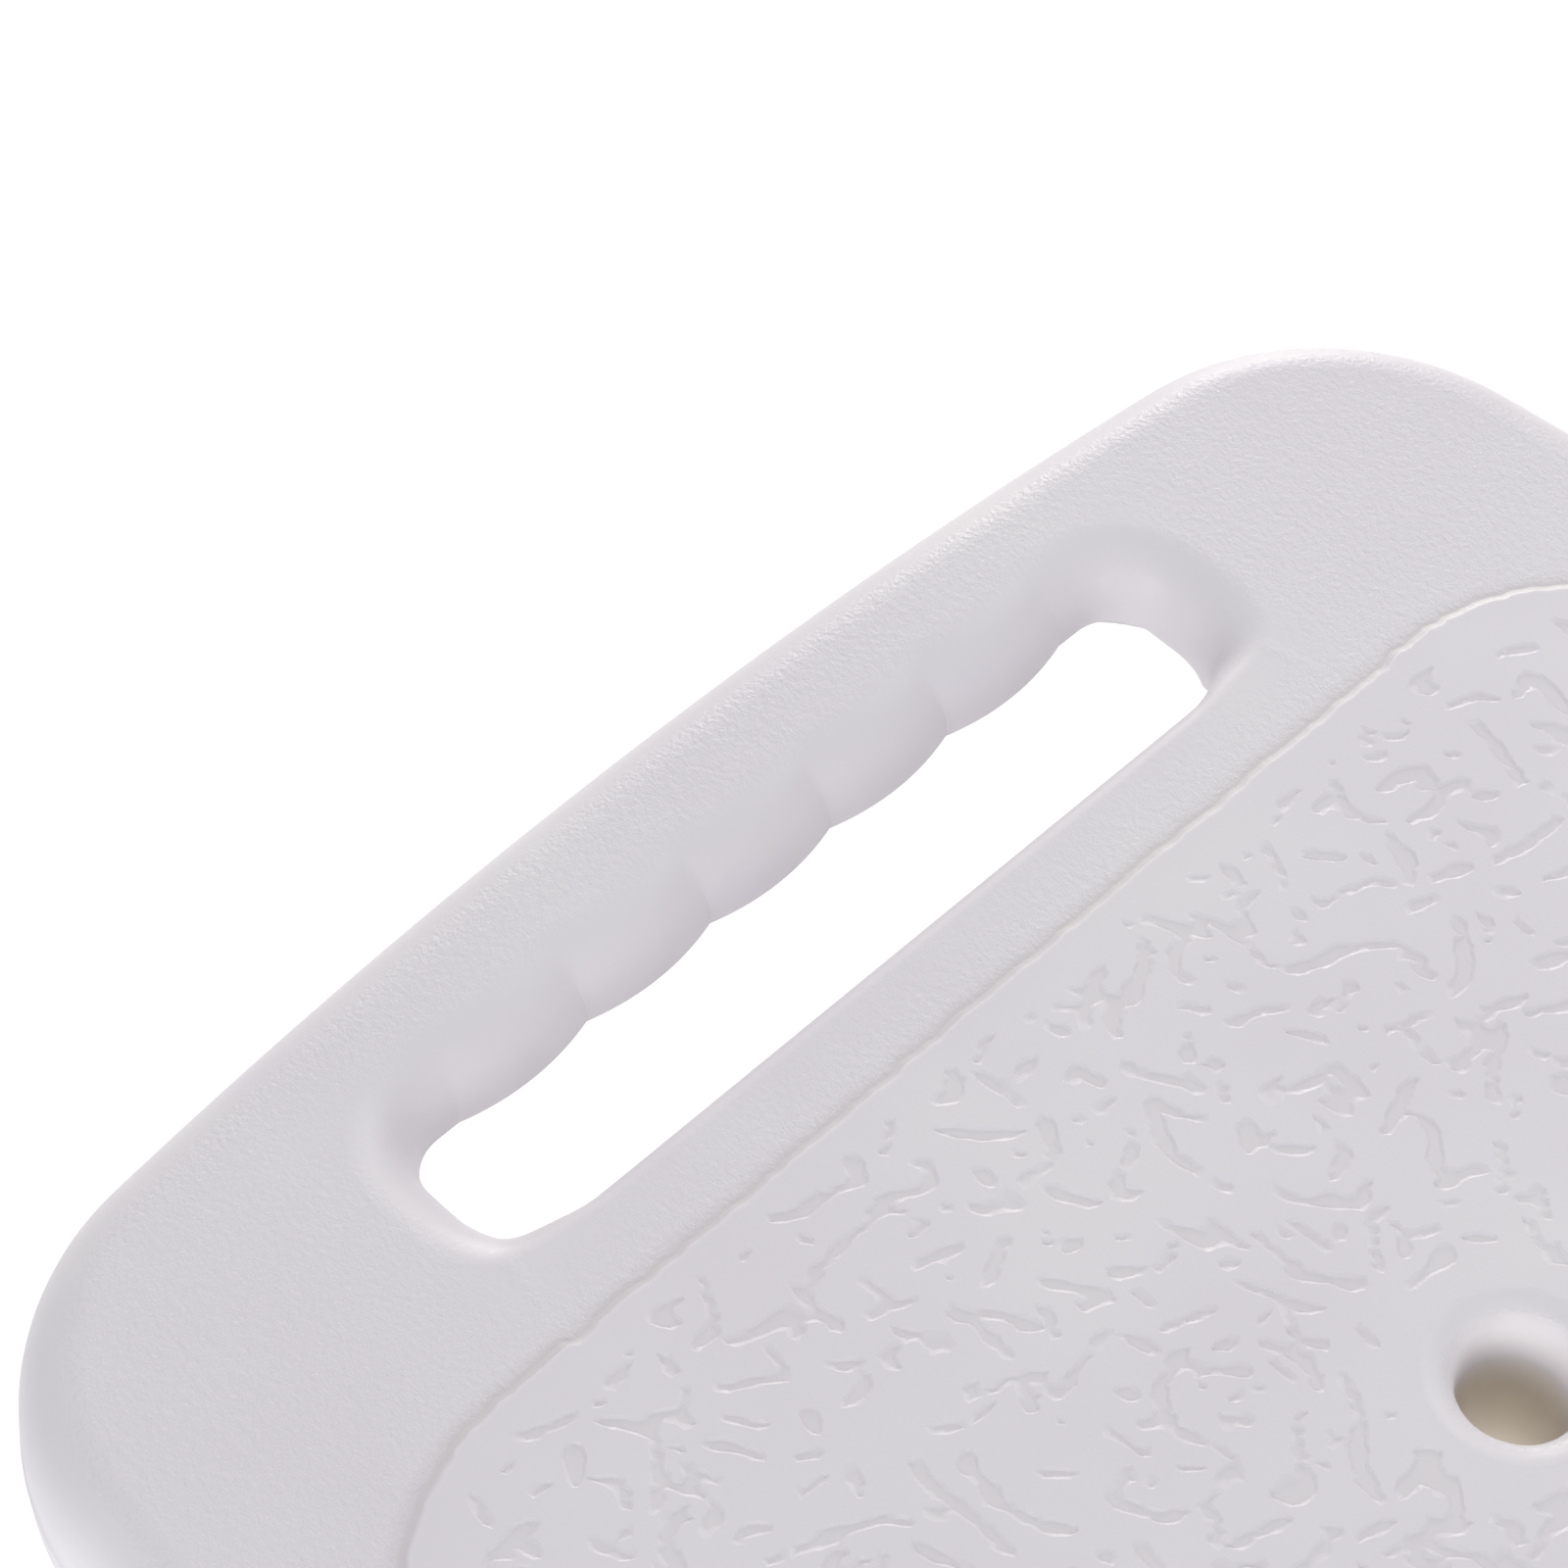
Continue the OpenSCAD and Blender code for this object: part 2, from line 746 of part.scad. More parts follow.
module foot_tip_front_right() {
    foot_tip(1, -1);
}

module foot_tip_back_left() {
    foot_tip(-1, 1);
}

module foot_tip_back_right() {
    foot_tip(1, 1);
}

// Steel disc that stops the tube cutting through its tip
module foot_disc(sx, sy) {
    color("gray") at_leg(sx, sy) leg_rod(ext_end, ext_end + disc_t, ext_r - seated);
}

module foot_disc_front_left() {
    foot_disc(-1, -1);
}

module foot_disc_front_right() {
    foot_disc(1, -1);
}

module foot_disc_back_left() {
    foot_disc(-1, 1);
}

module foot_disc_back_right() {
    foot_disc(1, 1);
}

seat_board();
vent_plug();
seat_inserts();
frame_tube_left();
frame_tube_right();
saddle_front_left();
saddle_front_right();
saddle_back_left();
saddle_back_right();
saddle_screws();
saddle_washers();
brace_collar_front_left();
brace_collar_front_right();
brace_collar_back_left();
brace_collar_back_right();
brace_bar_upper();
brace_bar_lower();
brace_rivets();
brace_bolt();
brace_washers();
brace_nut();
leg_extension_front_left();
leg_extension_front_right();
leg_extension_back_left();
leg_extension_back_right();
snap_button_front_left();
snap_button_front_right();
snap_button_back_left();
snap_button_back_right();
spring_clip_front_left();
spring_clip_front_right();
spring_clip_back_left();
spring_clip_back_right();
foot_tip_front_left();
foot_tip_front_right();
foot_tip_back_left();
foot_tip_back_right();
foot_disc_front_left();
foot_disc_front_right();
foot_disc_back_left();
foot_disc_back_right();
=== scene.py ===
"""Looks of a bath stool: its moulded seat as one detailed skin, and procedural materials for every
carried-over piece. Lengths are in millimetres until a mesh is made, and metres from there on."""

import json
import math

import bpy
import numpy as np
from mathutils import Matrix, Vector
from mathutils.geometry import delaunay_2d_cdt


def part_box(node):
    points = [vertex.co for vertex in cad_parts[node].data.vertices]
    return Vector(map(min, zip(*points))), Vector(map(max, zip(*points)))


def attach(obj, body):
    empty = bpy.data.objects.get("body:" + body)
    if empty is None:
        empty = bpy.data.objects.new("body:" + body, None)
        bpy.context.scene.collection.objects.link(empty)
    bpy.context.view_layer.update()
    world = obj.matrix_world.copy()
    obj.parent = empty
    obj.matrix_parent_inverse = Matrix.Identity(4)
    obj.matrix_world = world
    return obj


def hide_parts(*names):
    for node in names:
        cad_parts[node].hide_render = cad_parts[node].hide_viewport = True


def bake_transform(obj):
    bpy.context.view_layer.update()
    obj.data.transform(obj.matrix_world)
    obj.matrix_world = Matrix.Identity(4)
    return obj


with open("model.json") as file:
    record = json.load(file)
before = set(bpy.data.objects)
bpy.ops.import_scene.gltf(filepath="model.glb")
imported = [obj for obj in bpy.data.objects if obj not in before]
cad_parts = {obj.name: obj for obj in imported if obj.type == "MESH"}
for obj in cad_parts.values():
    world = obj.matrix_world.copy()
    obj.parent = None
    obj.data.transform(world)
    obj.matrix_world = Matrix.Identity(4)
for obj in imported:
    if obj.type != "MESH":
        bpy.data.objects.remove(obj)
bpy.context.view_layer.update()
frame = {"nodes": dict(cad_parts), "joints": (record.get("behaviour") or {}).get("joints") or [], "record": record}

MM = 0.001
rng = np.random.default_rng(20261119)


def millimetres(node):
    """Lowest and highest corner of a CAD node."""
    return [np.array(corner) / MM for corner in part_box(node)]


# ---- Sizes, from the frame where it gives them ----

seat_low, seat_high = millimetres("seat_board")
saddle_low, saddle_high = millimetres("saddle_front_right")
tube_high = millimetres("frame_tube_right")[1]
SEAT_L = round(seat_high[0] - seat_low[0])
SEAT_W = round(seat_high[1] - seat_low[1])
TOP = seat_high[2]
UNDER = seat_low[2]
PANEL_H = 0.6           # height of the seating panel over the rim
RIM = TOP - PANEL_H
EDGE_R = 9.0            # rolled edge
END_R = 886.0           # radius of the board's ends in plan
SIDE_R = 1800.0         # radius of its long sides in plan
CORNER_R = 41.0         # radius of its corners in plan
SEAM = 0.22             # height of the ridge round the side, where the mould parts

PANEL_HALF = np.array([SEAT_L / 2 - 62.8, SEAT_W / 2 - 24.3])
PANEL_R = 35.3          # corners of the panel
PANEL_SLOPE = 1.25      # width of the slope from the panel down to the rim

SLOT_LIP = 25.4         # from the board's end to the notches between the finger lobes
SLOT_W = 23.2
SLOT_HALF = 65.7
SLOT_BACK_R = 11.5
SLOT_LIP_R = 7.0
LOBES = 5
LOBE_PITCH = 22.0
LOBE_H = 1.6
LOBE_R = ((LOBE_PITCH / 2) ** 2 + LOBE_H ** 2) / (2 * LOBE_H)
BACK_EDGE_R = 2.6       # rounding of the slot's straight side
GRIP_EDGE_R = 9.6       # rounding of the grip and of the slot's ends
GRIP_LEAN = 0.82        # how far the wall under the grip's edge draws back, for each millimetre down
GRIP_BREAK_R = 0.5      # rounding of the edge between the grip and that wall
GRIP_LOW_R = 1.6        # rounding of the slot's lower edge
GRIP_BLEND = 11         # smoothing passes that run the finger lobes out into the rim

DRAINS = [(0, 0), (-106, 6.7), (106, -6.7), (0, 64), (0, -64)]
DRAIN_R = 7.5
FUNNEL_R = 12.5

FLUTE_W = 14.0
FLUTE_D = 12.0
FLUTE_HALF = 121.5
FLUTE_YS = [-84.5, -43.5, 43.5, 84.5]
CHANNEL_X = (saddle_low[0] + saddle_high[0]) / 2
CHANNEL_R = 13.0
CHANNEL_HALF = 107.5
TUBE_R = 12.7
CHANNEL_Z = tube_high[2] - TUBE_R

GROOVE_DEPTH = 0.25
GROOVE_WALL = 0.45      # width of the sloping wall round each groove
GROOVE_GAP = 0.75       # least space between two grooves that don't join
GROOVE_LONERS = 0.76    # share of the grooves that keep that space
GROOVE_OVERLAP = 0.6    # how far the others may run into their neighbours
GROOVE_MARGIN = 3.2     # least distance from a groove's middle line to the panel's edge or a drain
GROOVE_STEP = 1.3       # length of the short straight lines that a groove is drawn with
GROOVE_KINDS = [        # how many are tried, shortest, longest, least and greatest half-width
    (1500, 8, 20, 0.8, 1.2),
    (9000, 4, 10, 0.8, 1.25),
    (7000, 1, 3.5, 0.8, 1.15),
]


# ---- Mesh building ----

class Skin:
    """Collects vertices, each with a tone and perhaps a wanted normal, and faces."""

    def __init__(self):
        self.points = []
        self.normals = []
        self.tones = []
        self.faces = []
        self.count = 0

    def add(self, points, normals=None, tone=0.5):
        """Adds points, and returns their indices. Rows of NaN leave a normal to the faces. A tone below a half is
        darker and warmer than the plastic round about (painted shade), and one above it is paler (painted light)."""
        points = np.asarray(points, float).reshape(-1, 3)
        if normals is None:
            normals = np.full(points.shape, np.nan)
        normals = np.broadcast_to(np.asarray(normals, float), points.shape)
        self.points.append(points)
        self.normals.append(normals)
        self.tones.append(np.broadcast_to(float(tone), len(points)))
        start = self.count
        self.count += len(points)
        return np.arange(start, self.count)

    def face(self, rows):
        self.faces.extend(np.asarray(rows, int).tolist())

    def band(self, low, high, closed=True):
        """Quads between two rows of indices of one length."""
        low, high = np.asarray(low), np.asarray(high)
        if closed:
            low, high = np.append(low, low[0]), np.append(high, high[0])
        self.face(np.stack([low[:-1], low[1:], high[1:], high[:-1]], 1))

    def loft(self, rings):
        for low, high in zip(rings[:-1], rings[1:]):
            self.band(low, high)


def loop_edges(loops):
    """Closed edges along loops that are laid end to end, and the count of their points."""
    edges, start = [], 0
    for loop in loops:
        ring = np.arange(start, start + len(loop))
        edges.append(np.stack([ring, np.roll(ring, -1)], 1))
        start += len(loop)
    return edges, start


def fill(skin, loops, up, keep):
    """Fills the flat region between loops of indices; keep says which triangle centres belong."""
    indices = np.concatenate(loops)
    points = np.concatenate(skin.points)[indices][:, :2]
    triangles = triangulate(points, np.concatenate(loop_edges(loops)[0]))
    centres = points[triangles].mean(1)
    triangles = triangles[keep(centres)]
    rows = indices[triangles]
    skin.face(rows if up else rows[:, ::-1])


def triangulate(points, edges):
    """Constrained Delaunay triangles, wound anticlockwise, as indices into points."""
    made = delaunay_2d_cdt([Vector(p) for p in points.tolist()], edges.tolist(), [], 0, 1e-7)
    source = np.array([ids[0] if ids else -1 for ids in made[3]])
    rows = source[np.array(made[2])]
    rows = rows[(rows >= 0).all(1)]
    a, b, c = points[rows[:, 0]], points[rows[:, 1]], points[rows[:, 2]]
    turn = (b[:, 0] - a[:, 0]) * (c[:, 1] - a[:, 1]) - (b[:, 1] - a[:, 1]) * (c[:, 0] - a[:, 0])
    rows[turn < 0] = rows[turn < 0][:, ::-1]
    return rows[abs(turn) > 1e-9]


def inside(loop, points):
    """Which points lie inside a closed outline, by counting crossings."""
    found = np.zeros(len(points), bool)
    x, y = points[:, 0], points[:, 1]
    for a, b in zip(loop, np.roll(loop, -1, 0)):
        if a[1] == b[1]:
            continue
        crosses = (a[1] > y) != (b[1] > y)
        found ^= crosses & (x < (b[0] - a[0]) * (y - a[1]) / (b[1] - a[1]) + a[0])
    return found


def smooth(low, high, value):
    t = np.clip((value - low) / (high - low), 0, 1)
    return t * t * (3 - 2 * t)


# ---- Outlines ----

def arc(centre, radius, start, end, count):
    """Points and outward normals of an arc, its end left out."""
    angle = np.radians(np.linspace(start, end, count, endpoint=False))
    normal = np.stack([np.cos(angle), np.sin(angle)], 1)
    return np.asarray(centre) + radius * normal, normal


def board_outline():
    """The board's plan: curved ends and sides joined by round corners, anticlockwise."""
    end_c, side_c = SEAT_L / 2 - END_R, SEAT_W / 2 - SIDE_R
    span = math.hypot(end_c, side_c)
    along = ((END_R - CORNER_R) ** 2 - (SIDE_R - CORNER_R) ** 2 + span ** 2) / (2 * span)
    across = math.sqrt((END_R - CORNER_R) ** 2 - along ** 2)
    cx = end_c - (along * end_c + across * side_c) / span
    cy = (along * side_c - across * end_c) / span
    end_a = math.degrees(math.atan2(cy, cx - end_c))
    side_a = math.degrees(math.atan2(cy - side_c, cx))
    stretches = [
        arc((end_c, 0), END_R, -end_a, end_a, 90),
        arc((cx, cy), CORNER_R, end_a, side_a, 40),
        arc((0, side_c), SIDE_R, side_a, 180 - side_a, 120),
        arc((-cx, cy), CORNER_R, 180 - side_a, 180 - end_a, 40),
        arc((-end_c, 0), END_R, 180 - end_a, 180 + end_a, 90),
        arc((-cx, -cy), CORNER_R, 180 + end_a, 180 + side_a, 40),
        arc((0, -side_c), SIDE_R, 180 + side_a, 360 - side_a, 120),
        arc((cx, -cy), CORNER_R, 360 - side_a, 360 - end_a, 40),
    ]
    return [np.concatenate(part) for part in zip(*stretches)]


def line(start, end, normal, count):
    t = np.linspace(0, 1, count, endpoint=False)[:, None]
    points = np.asarray(start) * (1 - t) + np.asarray(end) * t
    return points, np.broadcast_to(np.asarray(normal, float), points.shape)


def fan(point, start, end, count):
    """One point whose normal turns, where the outline has a corner."""
    angle = np.radians(np.linspace(start, end, count + 2)[1:-1])
    points = np.broadcast_to(np.asarray(point, float), (count, 2))
    return points, np.stack([np.cos(angle), np.sin(angle)], 1)


def slot_outline():
    """The right hand slot, anticlockwise, with normals that point into the board."""
    lip = SEAT_L / 2 - SLOT_LIP
    back = lip - SLOT_W
    corner_y = SLOT_HALF - SLOT_BACK_R
    lobe_x = lip - LOBE_H + LOBE_R
    reach = LOBES * LOBE_PITCH / 2
    tilt = math.degrees(math.asin(LOBE_PITCH / 2 / LOBE_R))
    lip_y = SLOT_HALF - SLOT_LIP_R
    stretches = [
        line((back, corner_y), (back, -corner_y), (-1, 0), 60),
        arc((back + SLOT_BACK_R, -corner_y), SLOT_BACK_R, 180, 270, 20),
        line((back + SLOT_BACK_R, -SLOT_HALF), (lip - SLOT_LIP_R, -SLOT_HALF), (0, -1), 2),
        arc((lip - SLOT_LIP_R, -lip_y), SLOT_LIP_R, 270, 360, 16),
        line((lip, -lip_y), (lip, -reach), (1, 0), 5),
        fan((lip, -reach), 0, tilt, 3),
    ]
    for i in range(LOBES):
        y = (i - (LOBES - 1) / 2) * LOBE_PITCH
        angle = np.radians(np.linspace(tilt, -tilt, 19))
        normal = np.stack([np.cos(angle), np.sin(angle)], 1)
        stretches.append((np.array([lobe_x, y]) - LOBE_R * normal, normal))
        if i < LOBES - 1:
            stretches.append(fan((lip, y + LOBE_PITCH / 2), -tilt, tilt, 6))
    stretches += [
        fan((lip, reach), -tilt, 0, 3),
        line((lip, reach), (lip, lip_y), (1, 0), 5),
        arc((lip - SLOT_LIP_R, lip_y), SLOT_LIP_R, 0, 90, 16),
        line((lip - SLOT_LIP_R, SLOT_HALF), (back + SLOT_BACK_R, SLOT_HALF), (0, 1), 2),
        arc((back + SLOT_BACK_R, corner_y), SLOT_BACK_R, 90, 180, 20),
    ]
    return [np.concatenate(part) for part in zip(*stretches)]


def panel_outline(step):
    """The seating panel's plan at about one point a step, with outward normals."""
    cx, cy = PANEL_HALF - PANEL_R
    turn = int(PANEL_R * math.pi / 2 / step)
    across, up = int(2 * cx / step), int(2 * cy / step)
    hx, hy = PANEL_HALF
    stretches = [
        line((hx, -cy), (hx, cy), (1, 0), up),
        arc((cx, cy), PANEL_R, 0, 90, turn),
        line((cx, hy), (-cx, hy), (0, 1), across),
        arc((-cx, cy), PANEL_R, 90, 180, turn),
        line((-hx, cy), (-hx, -cy), (-1, 0), up),
        arc((-cx, -cy), PANEL_R, 180, 270, turn),
        line((-cx, -hy), (cx, -hy), (0, -1), across),
        arc((cx, -cy), PANEL_R, 270, 360, turn),
    ]
    return [np.concatenate(part) for part in zip(*stretches)]


def flat(points, z):
    """Plan points lifted to a height, which may differ from point to point."""
    return np.column_stack([points, np.broadcast_to(z, len(points))])


# ---- The grooves of the seating panel ----

GRID = 1.2              # spacing of the field that the grooves are drawn in
grid_x = np.arange(-PANEL_HALF[0] - 2, PANEL_HALF[0] + 2 + GRID, GRID)
grid_y = np.arange(-PANEL_HALF[1] - 2, PANEL_HALF[1] + 2 + GRID, GRID)


def stroke_path(length):
    """A wandering line from the origin, with a kink here and there."""
    steps = max(2, int(length / GROOVE_STEP))
    kinks = np.where(rng.random(steps) < 0.16, rng.normal(0, 0.8, steps), 0)
    heading = rng.uniform(0, 2 * math.pi) + (rng.normal(0, 0.2, steps) + kinks).cumsum()
    path = np.cumsum(np.stack([np.cos(heading), np.sin(heading)], 1) * length / steps, 0)
    return np.vstack([[0, 0], path])


def distance_to(path, widths, px, py):
    """Distance from each point to a line of varying half-width; below zero it is inside."""
    best = np.full(px.shape, np.inf)
    for a, b, wa, wb in zip(path[:-1], path[1:], widths[:-1], widths[1:]):
        d = b - a
        size = max(d @ d, 1e-9)
        t = np.clip(((px - a[0]) * d[0] + (py - a[1]) * d[1]) / size, 0, 1)
        gap = np.hypot(px - a[0] - t * d[0], py - a[1] - t * d[1]) - (wa + t * (wb - wa))
        best = np.minimum(best, gap)
    return best


def panel_margin(x, y):
    """Distance inside the panel's outline, and clear of the drain holes."""
    qx = abs(x) - PANEL_HALF[0] + PANEL_R
    qy = abs(y) - PANEL_HALF[1] + PANEL_R
    outside = np.hypot(np.maximum(qx, 0), np.maximum(qy, 0)) + np.minimum(np.maximum(qx, qy), 0)
    margin = PANEL_R - outside
    for dx, dy in DRAINS:
        margin = np.minimum(margin, np.hypot(x - dx, y - dy) - FUNNEL_R)
    return margin


def groove_field():
    """A field over the panel that is below zero inside the grooves and near a distance round them."""
    gx, gy = np.meshgrid(grid_x, grid_y, indexing="ij")
    field = np.full(gx.shape, 9.0)
    spread = 7      # cells on each side of a groove that it can change
    for tries, short, long, thin, thick in GROOVE_KINDS:
        for _ in range(tries):
            start = rng.uniform(-PANEL_HALF, PANEL_HALF)
            path = stroke_path(rng.uniform(short, long)) + start
            widths = rng.uniform(thin, thick) * rng.uniform(0.7, 1.2, len(path))
            widths[[0, -1]] *= rng.uniform(0.5, 0.95)
            room = GROOVE_GAP if rng.random() < GROOVE_LONERS else -GROOVE_OVERLAP
            cell = np.round((path - [grid_x[0], grid_y[0]]) / GRID).astype(int)
            cell = np.clip(cell, 0, np.array(field.shape) - 1)
            near = field[cell[:, 0], cell[:, 1]] - widths
            if near.min() < room or (panel_margin(*path.T) < GROOVE_MARGIN).any():
                continue
            low = np.maximum(cell.min(0) - spread, 0)
            high = np.minimum(cell.max(0) + spread + 1, field.shape)
            window = (slice(low[0], high[0]), slice(low[1], high[1]))
            field[window] = np.minimum(field[window], distance_to(path, widths, gx[window], gy[window]))
    wobble = rng.normal(0, 1, field.shape)
    for _ in range(2):
        wobble = (wobble + sum(np.roll(wobble, s, a) for s in (-1, 1) for a in (0, 1))) / 5
    return np.maximum(field + 0.5 * wobble, 1.0 - panel_margin(gx, gy))


def level_lines(field, level):
    """Points and edges where the field crosses a level, on a grid whose cells are two triangles."""
    nx, ny = field.shape
    index = np.arange(nx * ny).reshape(nx, ny)
    value = field.ravel() - level
    value = np.where(abs(value) < 1e-4, 1e-4, value)
    a, b = index[:-1, :-1].ravel(), index[1:, :-1].ravel()
    c, d = index[1:, 1:].ravel(), index[:-1, 1:].ravel()
    triangles = np.concatenate([np.stack([a, b, c], 1), np.stack([a, c, d], 1)])
    below = value[triangles] < 0
    cut = below.any(1) & ~below.all(1)
    triangles, below = triangles[cut], below[cut]
    lone_is_below = below.sum(1) == 1
    lone = np.where(lone_is_below[:, None], below, ~below).argmax(1)
    rows = np.arange(len(triangles))
    corner = triangles[rows, lone]
    others = np.stack([triangles[rows, (lone + 1) % 3], triangles[rows, (lone + 2) % 3]], 1)
    pairs = np.sort(np.stack([np.stack([corner, corner], 1), others], 2), 2).reshape(-1, 2)
    unique, where = np.unique(pairs, axis=0, return_inverse=True)
    va, vb = value[unique[:, 0]], value[unique[:, 1]]
    t = (va / (va - vb))[:, None]
    place = np.stack([grid_x[index.ravel() // ny], grid_y[index.ravel() % ny]], 1)
    points = place[unique[:, 0]] * (1 - t) + place[unique[:, 1]] * t
    return points, where.reshape(-1, 2)


# ---- The seat board ----

def rim_profile():
    """Inset and height down the board's edge, with the ridge of the mould's parting line."""
    angle = np.radians(np.linspace(0, 90, 13))
    roll = [(EDGE_R * (1 - math.sin(a)), EDGE_R * (1 - math.cos(a))) for a in angle]
    middle = (RIM + UNDER) / 2
    ridge = [(0, middle + 0.7), (-SEAM, middle + 0.25), (-SEAM, middle - 0.25), (0, middle - 0.7)]
    upper = [(inset, RIM - drop) for inset, drop in roll]
    lower = [(inset, UNDER + drop) for inset, drop in reversed(roll)]
    return upper + ridge + lower


def add_rim(skin):
    points, normals = board_outline()
    rings = []
    for inset, z in rim_profile():
        wanted = (0, 0, 1) if z == RIM else (0, 0, -1) if z == UNDER else None
        rings.append(skin.add(flat(points - inset * normals, z), wanted))
    skin.loft(rings[::-1])
    return rings[0], rings[-1]


def add_slot(skin, side):
    """One hand slot: side is 1 at the right end and -1 at the left. The grip and the slot's ends roll
    over to an edge part-way down, and the wall under that edge leans back into the board. The straight
    side has a small rounding and an upright wall, so its share of this is nothing."""
    points, normals = slot_outline()
    share = smooth(-0.995, -0.5, normals[:, 0])
    top_r = BACK_EDGE_R + (GRIP_EDGE_R - BACK_EDGE_R) * share
    lean = np.arctan(GRIP_LEAN * share)
    if side < 0:
        points, normals = points * [-1, 1], normals * [-1, 1]
    fillet = 12
    rows = [(top_r * (1 - math.sin(a)), RIM - top_r * (1 - math.cos(a)))
            for a in np.radians(np.linspace(0, 90, fillet + 1))]
    for t in (0.35, 0.7, 1):
        rows.append((GRIP_BREAK_R * (1 - np.cos(t * lean)),
                     RIM - top_r - GRIP_BREAK_R * np.sin(t * lean) - 0.05 * t))
    start, high = rows[-1]
    for t in (0.5, 1):
        z = high + t * (UNDER + GRIP_LOW_R - high)
        rows.append((start + (high - z) * np.tan(lean), z))
    start, high = rows[-1]
    for a in np.radians((30, 60, 90)):
        rows.append((start + GRIP_LOW_R * (1 - math.cos(a)), UNDER + GRIP_LOW_R * (1 - math.sin(a))))
    # Tone falls from 0.5 at the rim to 0.4 at the foot of the rounding and stays there down the slot: painted
    # shade.
    rings = []
    for k, (offset, z) in enumerate(rows):
        wanted = (0, 0, 1) if k == 0 else (0, 0, -1) if k == len(rows) - 1 else None
        ring = points + np.asarray(offset)[:, None] * normals
        for _ in range(max(0, GRIP_BLEND - k)):
            ring = (np.roll(ring, 1, 0) + 2 * ring + np.roll(ring, -1, 0)) / 4
        rings.append(skin.add(flat(ring, z), wanted, 0.5 - 0.1 * min(k / fillet, 1) ** 2))
    skin.loft(rings if side > 0 else [ring[::-1] for ring in rings])
    return rings[0], rings[-1]


def add_drain(skin, centre):
    """A drain hole with a dished mouth, a bore that narrows a little and a rounded lower edge."""
    angle = np.linspace(0, 2 * math.pi, 72, endpoint=False)
    circle = np.stack([np.cos(angle), np.sin(angle)], 1)
    # Each row is radius, height and tone; the tones paint light, paler, on the upper bore, and shade, darker and
    # warmer, deep in the bore and round its lower edge.
    profile = [(FUNNEL_R, TOP, 0.5), (FUNNEL_R - 0.9, TOP - 0.08, 0.5), (FUNNEL_R - 2, TOP - 0.4, 0.55),
               (DRAIN_R + 1.9, TOP - 0.95, 0.65), (DRAIN_R + 1.0, TOP - 1.8, 0.8),
               (DRAIN_R + 0.4, TOP - 2.9, 0.9), (DRAIN_R + 0.1, TOP - 4.2, 0.9),
               (DRAIN_R - 0.1, TOP - 6, 0.6), (DRAIN_R - 0.4, TOP - 9, 0.2), (DRAIN_R - 0.7, TOP - 14, 0),
               (DRAIN_R - 1.3, UNDER + 1, 0), (DRAIN_R - 1.1, UNDER + 0.3, 0.3), (DRAIN_R - 0.5, UNDER, 0.5)]
    rings = []
    for radius, z, tone in profile:
        wanted = (0, 0, 1) if z == TOP else (0, 0, -1) if z == UNDER else None
        rings.append(skin.add(flat(np.asarray(centre) + radius * circle, z), wanted, tone))
    skin.loft(rings)
    return rings[0], rings[-1]


def add_panel_edge(skin):
    """The step round the panel: a slightly ragged crest painted paler as a painted highlight, and a slope down to
    the rim painted darker and warmer as painted shade.
    """
    points, normals = panel_outline(1.0)
    count = len(points)
    ragged = rng.normal(0, 1, count)
    ragged = (ragged + np.roll(ragged, 1)) / 2 + np.repeat(rng.normal(0, 0.8, count // 4 + 1), 4)[:count]
    crest = 0.18 * ragged
    foot = np.full(count, PANEL_SLOPE)
    rows = [(crest - 0.45, TOP, (0, 0, 1), 0.5), (crest - 0.1, TOP + 0.03, None, 0.58),
            (crest + 0.15, TOP, None, 0.54), (0.45 * foot + 0.5 * crest, TOP - 0.55 * PANEL_H, None, 0.34),
            (foot + crest, RIM + 0.06, None, 0.3), (foot + 0.7 + crest, RIM, (0, 0, 1), 0.4),
            (foot + 2.2, RIM, (0, 0, 1), 0.5)]
    rings = [skin.add(flat(points + offset[:, None] * normals, z), wanted, tone)
             for offset, z, wanted, tone in rows]
    skin.loft(rings[::-1])
    return rings[0], rings[-1]


def add_panel_top(skin, edge, drains):
    """The panel's surface, cut by grooves that have a sloping wall and a flat floor. The groove floors are painted
    darker than the top as painted shade, and the top is a touch paler than the rim.
    """
    field = groove_field()
    sets = []
    for level, z, tone in ((0.0, TOP, 0.52), (-GROOVE_WALL, TOP - GROOVE_DEPTH, 0.45)):
        points, edges = level_lines(field, level)
        sets.append((skin.add(flat(points, z), None, tone), edges))
    loops = [edge, *drains]
    indices = np.concatenate([*loops, sets[0][0], sets[1][0]])
    points = np.concatenate(skin.points)[indices]
    edges, start = loop_edges(loops)
    for members, pairs in sets:
        edges.append(pairs + start)
        start += len(members)
    triangles = triangulate(points[:, :2], np.concatenate(edges))
    outline = points[:len(edge), :2]
    centres = points[triangles].mean(1)[:, :2]
    keep = inside(outline, centres)
    for centre in DRAINS:
        keep &= np.hypot(*(centres - centre).T) > FUNNEL_R - 0.1
    skin.face(indices[triangles[keep]])


def add_flute(skin, y):
    """A blind channel with round ends in the underside."""
    angle = np.concatenate([np.linspace(-90, 90, 17), np.linspace(90, 270, 17)])
    shift = np.where(np.arange(34) < 17, FLUTE_HALF, -FLUTE_HALF)
    turn = np.stack([np.cos(np.radians(angle)), np.sin(np.radians(angle))], 1)
    half = FLUTE_W / 2
    rows = [(half + 1, 0), (half + 0.3, 0.3), (half, 1), (half - 0.9, FLUTE_D - 2.2),
            (half - 1.5, FLUTE_D - 0.7), (half - 3, FLUTE_D)]
    rings = [skin.add(flat(radius * turn + np.stack([shift, np.full(34, y)], 1), UNDER + depth),
                      (0, 0, -1) if depth in (0, FLUTE_D) else None) for radius, depth in rows]
    skin.loft(rings[::-1])
    skin.faces.append(rings[-1][::-1].tolist())
    return rings[0]


